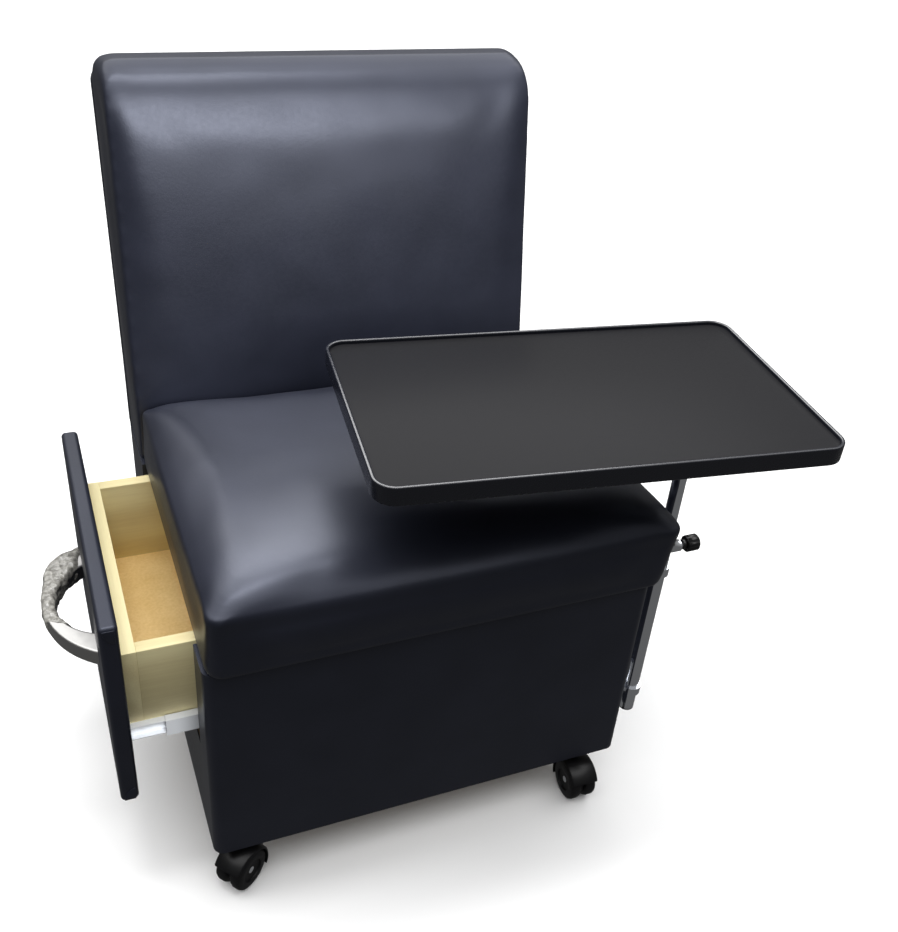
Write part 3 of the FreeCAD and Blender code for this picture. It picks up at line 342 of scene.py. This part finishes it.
def prism(name, corners, rise):
    """A flat piece: the corners' polygon, given in order, thickened by the rise."""
    form = bmesh.new()
    face = form.faces.new([form.verts.new(corner) for corner in corners])
    lifted = bmesh.ops.extrude_face_region(form, geom=[face])["geom"]
    raised = [part for part in lifted if isinstance(part, bmesh.types.BMVert)]
    bmesh.ops.translate(form, verts=raised, vec=rise)
    bmesh.ops.recalc_face_normals(form, faces=form.faces)
    mesh = bpy.data.meshes.new(name)
    form.to_mesh(mesh)
    form.free()
    return new_piece(name, mesh)


TURNED_SKIN = 0.25
FOLD_DROP = 16
FOLD_THICKNESS = 0.7


def turned_in(node, side, axis, end):
    """The base's skin where it is turned in over one side of a board.
    That side is at the low (0) or the high (1) end of the axis."""
    strip = welded_copy(node, f"{node}_turn_in_{side}")
    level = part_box(node)[end][axis]
    form = bmesh.new()
    form.from_mesh(strip.data)
    others = [face for face in form.faces if abs(face.calc_center_median()[axis] - level) > 0.01 * MM]
    bmesh.ops.delete(form, geom=others, context="FACES")
    form.to_mesh(strip.data)
    form.free()
    modified(strip, "SOLIDIFY", thickness=TURNED_SKIN * MM, offset=1)
    dress(strip, "base", "navy_vinyl", VINYL)


for board in ("base_front_board", "base_rear_board", "base_left_front_stile", "base_left_rear_stile"):
    turned_in(board, "top", 2, 1)
turned_in("base_left_front_stile", "opening", 1, 1)
turned_in("base_left_rear_stile", "opening", 1, 0)


def folded_corner(name, outer, inner, end, top, outward, down):
    """The flap at a corner of the drawer's panel, where the skin is folded over the end.
    Its free edge is a quarter of an ellipse."""
    drop = FOLD_DROP * MM * down
    corners = [(outer, end, top), (inner, end, top)]
    for step in range(9):
        angle = math.radians(90 * step / 8)
        corners.append((inner + (outer - inner) * math.sin(angle), end, top + drop * math.cos(angle)))
    flap = prism(name, corners[:-1], (0, FOLD_THICKNESS * MM * outward, 0))
    modified(flap, "BEVEL", width=0.25 * MM, segments=2, limit_method="ANGLE",
             angle_limit=math.radians(50))
    shaded(flap)
    dress(flap, "drawer", "navy_vinyl", VINYL)


panel_low, panel_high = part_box("drawer_panel")
for end, outward, side in ((panel_low[1], -1, "near"), (panel_high[1], 1, "far")):
    for height, down, level in ((panel_high[2] - 3 * MM, -1, "top"), (panel_low[2] + 3 * MM, 1, "bottom")):
        folded_corner(f"drawer_panel_fold_{side}_{level}", panel_low[0] + 3.5 * MM, panel_high[0] - 3.5 * MM,
                      end, height, outward, down)


def packing_film():
    """The film left on the far two thirds of the handle: loose, creased, and thickest on the far arm."""
    low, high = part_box("drawer_handle")
    film = welded_copy("drawer_handle", "handle_packing_film")
    modified(film, "REMESH", mode="VOXEL", voxel_size=1.8 * MM)
    modified(film, "SMOOTH", factor=0.5, iterations=6)
    spots = points_of(film)
    share = np.clip((spots[:, 1] - low[1]) / (high[1] - low[1]), 0, 1)
    crease = np.array([noise.noise(Vector(spot) / (11 * MM)) + 0.6 * abs(noise.noise(Vector(spot) / (6 * MM)))
                       for spot in spots])
    depth = 0.8 + 4.2 * np.clip((share - 0.5) / 0.4, 0, 1) ** 1.5 + 2.2 * crease
    spots += normals_of(film) * (np.maximum(depth, 0.4) * MM)[:, None]
    spots[:, 0] -= 9 * MM * np.exp(-((share - 0.86) / 0.1) ** 2)
    spots[:, 0] = np.minimum(spots[:, 0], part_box("drawer_panel")[0][0] - 0.2 * MM)
    set_points(film, spots)
    form = bmesh.new()
    form.from_mesh(film.data)
    edge = (low[0], low[1] + 0.36 * (high[1] - low[1]), 0)
    bmesh.ops.bisect_plane(form, geom=[*form.verts, *form.edges, *form.faces], plane_co=edge,
                           plane_no=(0.5, 1, 0), clear_inner=True)
    bmesh.ops.holes_fill(form, edges=[side for side in form.edges if side.is_boundary])
    form.to_mesh(film.data)
    form.free()
    shaded(film, 50)
    dress(film, "drawer", "handle_metal", FILM)


packing_film()


# Screws: one of each kind gets its cross recess, and a node tree sets copies of it where the CAD screws are

def solids_of(piece):
    """A bmesh of the piece, and the vertices of each of its separate solids."""
    form = bmesh.new()
    form.from_mesh(piece.data)
    left = set(form.verts)
    solids = []
    while left:
        found = [left.pop()]
        for vert in found:
            near = [edge.other_vert(vert) for edge in vert.link_edges]
            found += [other for other in near if other in left]
            left.difference_update(near)
        solids.append(found)
    return form, solids


def recess_cutter(name, facing, radius):
    """Two crossed bars, sunk in a screw's head at the origin along the way that it faces."""
    across = Vector(facing).orthogonal().normalized()
    upward = Vector(facing).cross(across)
    form = bmesh.new()
    for one, other in ((across, upward), (upward, across)):
        length, width, depth = one * radius * 1.3, other * radius * 0.3, Vector(facing) * 2 * MM
        shape_of_bar = Matrix((length, width, depth)).transposed()
        bmesh.ops.create_cube(form, size=1, matrix=shape_of_bar.to_4x4())
    mesh = bpy.data.meshes.new(name)
    form.to_mesh(mesh)
    form.free()
    return new_piece(name, mesh)


def spread_tree(facing, material):
    """A node tree that sets a prototype on each point, each turned about its own axis by chance."""
    tree = bpy.data.node_groups.new("set_screws", "GeometryNodeTree")
    tree.interface.new_socket("Points", in_out="INPUT", socket_type="NodeSocketGeometry")
    tree.interface.new_socket("Prototype", in_out="INPUT", socket_type="NodeSocketObject")
    tree.interface.new_socket("Seed", in_out="INPUT", socket_type="NodeSocketInt")
    tree.interface.new_socket("Screws", in_out="OUTPUT", socket_type="NodeSocketGeometry")
    given = add(tree, "NodeGroupInput")
    chance = add(tree, "FunctionNodeRandomValue", {"Seed": given.outputs["Seed"]})
    angle = add(tree, "ShaderNodeMath", {0: chance.outputs[1], 1: math.pi}, operation="MULTIPLY")
    spin = add(tree, "FunctionNodeAxisAngleToRotation", {"Axis": facing, "Angle": angle.outputs[0]})
    source = add(tree, "GeometryNodeObjectInfo", {"Object": given.outputs["Prototype"]})
    copies = add(tree, "GeometryNodeInstanceOnPoints", {"Points": given.outputs["Points"],
                                                        "Instance": source.outputs["Geometry"],
                                                        "Rotation": spin.outputs["Rotation"]})
    real = add(tree, "GeometryNodeRealizeInstances", {"Geometry": copies.outputs["Instances"]})
    coated = add(tree, "GeometryNodeSetMaterial", {"Geometry": real.outputs["Geometry"],
                                                   "Material": material})
    add(tree, "NodeGroupOutput", {"Screws": coated.outputs["Geometry"]})
    return tree


def crossed_screws(node, facing):
    """The screws of a node with cross recesses in their heads, which look the way that is given."""
    stock = welded_copy(node, f"{node}_stock")
    form, solids = solids_of(stock)
    way = Vector(facing)
    tips = []
    for solid in solids:
        top = max(vert.co.dot(way) for vert in solid)
        rim = [vert.co for vert in solid if vert.co.dot(way) > top - 0.01 * MM]
        tips.append(sum(rim, Vector()) / len(rim))
        radius = max((spot - tips[-1]).length for spot in rim)
    bmesh.ops.delete(form, geom=[vert for solid in solids[1:] for vert in solid], context="VERTS")
    bmesh.ops.translate(form, verts=form.verts, vec=-tips[0])
    form.to_mesh(stock.data)
    form.free()
    cutter = recess_cutter(f"{node}_recess", facing, radius)
    modified(stock, "BEVEL", width=0.3 * MM, segments=2, limit_method="ANGLE",
             angle_limit=math.radians(50))
    modified(stock, "BOOLEAN", object=cutter, operation="DIFFERENCE", solver="EXACT", use_self=True)
    points = bpy.data.meshes.new(f"{node}_points")
    points.from_pydata(tips, [], [])
    screws = new_piece(f"{node}_crossed", points)
    spread = screws.modifiers.new("set_screws", "NODES")
    spread.node_group = spread_tree(facing, ZINC)
    sockets = {item.name: item.identifier for item in spread.node_group.interface.items_tree}
    spread[sockets["Prototype"]] = stock
    spread[sockets["Seed"]] = 7
    settle(screws)
    for helper in (stock, cutter):
        bpy.data.objects.remove(helper)
    shaded(screws)
    dress(screws, BODY_OF[node], "zinc_steel", ZINC, node)


crossed_screws("caster_screws", (0, 0, -1))
crossed_screws("tray_screws", (0, 0, -1))
crossed_screws("column_bracket_screws", (1, 0, 0))
crossed_screws("handle_screws", (1, 0, 0))

# CAD nodes that show as they are, with the looks of their slots
KEPT = {"carcass_board": CHIPBOARD, "zinc_steel": ZINC}
for row in frame["record"]["subparts"]:
    if row["material_slot"] in KEPT:
        node = frame["nodes"][row["node"]]
        node.data.materials.clear()
        node.data.materials.append(KEPT[row["material_slot"]])


# Upholstery: the pads swell under their vinyl in a cloth simulation

PAD_VOXEL = 4
PAD_PRESSURE = 4.0
CLOTH_STEPS = 20
FACE_PASSES = 60
MOVE_PASSES = 50
PLUMP_HEIGHT = 90
WAVE_LENGTH = 55
WAVE_DEPTH = 0.5


def swollen(piece, held, pressure):
    """Blows the piece up as closed cloth, with the held points fixed, and keeps the result."""
    group = piece.vertex_groups.new(name="held")
    group.add([int(index) for index in np.flatnonzero(held)], 1.0, "REPLACE")
    cloth = piece.modifiers.new("cloth", "CLOTH")
    cloth.settings.vertex_group_mass = "held"
    cloth.settings.quality = 5
    cloth.settings.mass = 0.3
    cloth.settings.tension_stiffness = 15
    cloth.settings.compression_stiffness = 15
    cloth.settings.shear_stiffness = 5
    cloth.settings.bending_stiffness = 20
    cloth.settings.use_pressure = True
    cloth.settings.uniform_pressure_force = pressure
    cloth.settings.effector_weights.gravity = 0
    cloth.collision_settings.use_collision = False
    for step in range(1, CLOTH_STEPS + 1):
        bpy.context.scene.frame_set(step)
    settle(piece)
    bpy.context.scene.frame_set(1)
    piece.vertex_groups.clear()


def evened(piece, values, weight, passes):
    """Values at a mesh's points, drawn towards those of their neighbours, as far as each weight says."""
    ends = np.empty(2 * len(piece.data.edges), dtype=np.int32)
    piece.data.edges.foreach_get("vertices", ends)
    one, other = ends[0::2], ends[1::2]
    neighbours = np.bincount(ends, minlength=len(values))[:, None]
    for _ in range(passes):
        total = np.zeros_like(values)
        np.add.at(total, one, values[other])
        np.add.at(total, other, values[one])
        values = values + 0.5 * weight[:, None] * (total / neighbours - values)
    return values


def upholstered(node, name, held, face, low, high, shrink, cap, lift):
    """A pad in a node's shape: remeshed, drawn in, swollen by at most the cap, kept within its room.
    The CAD's flat facets are smoothed out of the side that it shows, and its upper end is lifted.
    All sizes are in millimetres."""
    pad = welded_copy(node, name)
    modified(pad, "REMESH", mode="VOXEL", voxel_size=PAD_VOXEL * MM)
    modified(pad, "SMOOTH", factor=0.5, iterations=6)
    modified(pad, "SHRINKWRAP", target=frame["nodes"][node])
    modified(pad, "SMOOTH", factor=0.5, iterations=5)
    facing = np.clip((normals_of(pad) @ np.array(face) - 0.5) / 0.4, 0, 1)
    set_points(pad, evened(pad, points_of(pad), facing, FACE_PASSES))
    start = points_of(pad)
    fixed = held(start)
    drawn = start
    drawn = start - normals_of(pad) * np.where(fixed, 0, shrink * MM)[:, None]
    set_points(pad, drawn)
    swollen(pad, fixed, PAD_PRESSURE)
    move = points_of(pad) - drawn
    length = np.linalg.norm(move, axis=1)
    move *= (cap * MM * np.tanh(length / (cap * MM)) / np.maximum(length, 1e-9))[:, None]
    set_points(pad, start + evened(pad, drawn + move - start, 1.0 - fixed, MOVE_PASSES))
    spots = points_of(pad)
    height = np.clip((spots[:, 2] - start[:, 2].max() + PLUMP_HEIGHT * MM) / (PLUMP_HEIGHT * MM), 0, 1)
    spots[:, 2] += lift * MM * height ** 2
    waves = np.array([noise.noise(Vector(spot) / (WAVE_LENGTH * MM)) for spot in spots])
    spots += normals_of(pad) * (np.where(fixed, 0, WAVE_DEPTH * MM) * waves)[:, None]
    set_points(pad, np.clip(spots, np.array(low) * MM, np.array(high) * MM))
    modified(pad, "SUBSURF", levels=1, render_levels=1)
    pad.data.shade_smooth()
    dress(pad, BODY_OF[node], "padded_vinyl", VINYL, node)


def seat_held(spots):
    """The seat's pad is held where it rests on its board and on the base."""
    return spots[:, 2] < 357 * MM


def back_held(spots):
    """The backrest's pad is held where it lies on its frame and along its lower edge."""
    lean = np.maximum(0, spots[:, 2] - 425 * MM)
    on_frame = (np.abs(spots[:, 0] + 5 * MM) < 237 * MM) & (spots[:, 1] > 214 * MM + 0.137 * lean)
    return on_frame | (spots[:, 1] > 246 * MM + 0.109 * lean) | (spots[:, 2] < 345 * MM)


upholstered("seat_cushion", "seat_pad", seat_held, face=(0, 0, 1), low=(-253.5, -236, 338.3),
            high=(271.5, 168.8, 447), shrink=1.5, cap=5, lift=0)
upholstered("back_cushion", "back_pad", back_held, face=(0, -1, 0), low=(-258, 120, 338),
            high=(258, 330, 790), shrink=1.5, cap=4.5, lift=6)


# Stage, light and camera

def studio_floor():
    """A plain pale floor under the chair."""
    form = bmesh.new()
    bmesh.ops.create_grid(form, x_segments=1, y_segments=1, size=20)
    mesh = bpy.data.meshes.new("floor")
    form.to_mesh(mesh)
    form.free()
    floor = new_piece("floor", mesh)
    made, tree, shader, place = new_material("studio_floor_pale_paint")
    shader.inputs["Base Color"].default_value = linear("f4f4f4")
    shader.inputs["Roughness"].default_value = 0.9
    mesh.materials.append(made)
    floor.visible_glossy = False
    floor.visible_diffuse = False


def softbox(name, spot, target, size, power):
    """A rectangular area light at a spot, facing a target."""
    lamp = bpy.data.lights.new(name, "AREA")
    lamp.shape = "RECTANGLE"
    lamp.size, lamp.size_y = size
    lamp.energy = power
    made = new_piece(name, lamp)
    made.location = spot
    made.rotation_euler = (Vector(target) - Vector(spot)).to_track_quat("-Z", "Y").to_euler()
    return made


def piece_group(name, pieces):
    """A collection of finished pieces that one lamp lights or that shade it."""
    made = bpy.data.collections.new(name)
    for piece in pieces:
        made.objects.link(bpy.data.objects[piece])
    return made


def photo_camera():
    """The camera where the photograph was taken from: its lens is 1065.776 pixels of a 932 pixel side."""
    yaw, pitch, roll = math.radians(24.705), math.radians(33.77), math.radians(5.25)
    forward = Vector((math.sin(yaw) * math.cos(pitch), math.cos(yaw) * math.cos(pitch), -math.sin(pitch)))
    right = Vector((math.cos(yaw), -math.sin(yaw), 0))
    up = right.cross(forward)
    across = math.cos(roll) * right + math.sin(roll) * up
    upward = math.cos(roll) * up - math.sin(roll) * right
    turned = Matrix((across, upward, -forward)).transposed().to_4x4()
    lens = bpy.data.cameras.new("photo_camera")
    lens.sensor_width = 36
    lens.lens = 1065.776 * 36 / 932
    made = new_piece("photo_camera", lens)
    made.matrix_world = Matrix.Translation((-0.36027, -0.95861, 1.088)) @ turned
    bpy.context.scene.camera = made


def studio_light():
    """An even bright ceiling that leans to the back, one lamp in it and a dim room.
    A front softbox gives only the backrest and the rails their highlights. A rear softbox gives only the
    seat and the tray's edging theirs, and the backrest doesn't shade it."""
    sky = bpy.data.lights.new("ceiling_glow", "SUN")
    sky.energy = 4.0
    sky.angle = math.radians(100)
    glow = new_piece("ceiling_glow", sky)
    glow.rotation_euler = (math.radians(-12), 0, 0)
    softbox("ceiling_lamp", (-0.2, -0.1, 2.6), (-0.2, -0.1, 0), (1.2, 0.25), 22)
    front = softbox("front_softbox", (0.3, -3.2, 2.45), (0, 0.2, 0.7), (2.0, 2.0), 195)
    rails = [f"{rail}_{side}_finished" for rail in ("drawer_rail", "middle_rail")
             for side in ("front", "rear")]
    front.light_linking.receiver_collection = piece_group("lit_by_front_softbox", ("back_pad", *rails))
    rear = softbox("rear_softbox", (0.25, 1.4, 2.35), (-0.05, -0.03, 0.44), (2.2, 1.6), 74)
    shown = ("seat_pad", "tray_edge_trim_finished")
    rear.light_linking.receiver_collection = piece_group("lit_by_rear_softbox", shown)
    rear.light_linking.blocker_collection = piece_group("shading_from_rear_softbox",
                                                        ("tray_board_finished", *shown))
    world = bpy.data.worlds.new("dim_room")
    world.use_nodes = True
    tree = world.node_tree
    tree.nodes["Background"].inputs["Color"].default_value = (1, 1, 1, 1)
    way = add(tree, "ShaderNodeTexCoord").outputs["Generated"]
    height = add(tree, "ShaderNodeSeparateXYZ", {"Vector": way}).outputs["Z"]
    fade = add(tree, "ShaderNodeMapRange", {"Value": height, "From Min": 0.0, "From Max": 0.7, "To Min": 0.13,
                                            "To Max": 0.4})
    tree.links.new(fade.outputs["Result"], tree.nodes["Background"].inputs["Strength"])
    bpy.context.scene.world = world
    bpy.context.scene.view_settings.view_transform = "Standard"


studio_floor()
studio_light()
photo_camera()
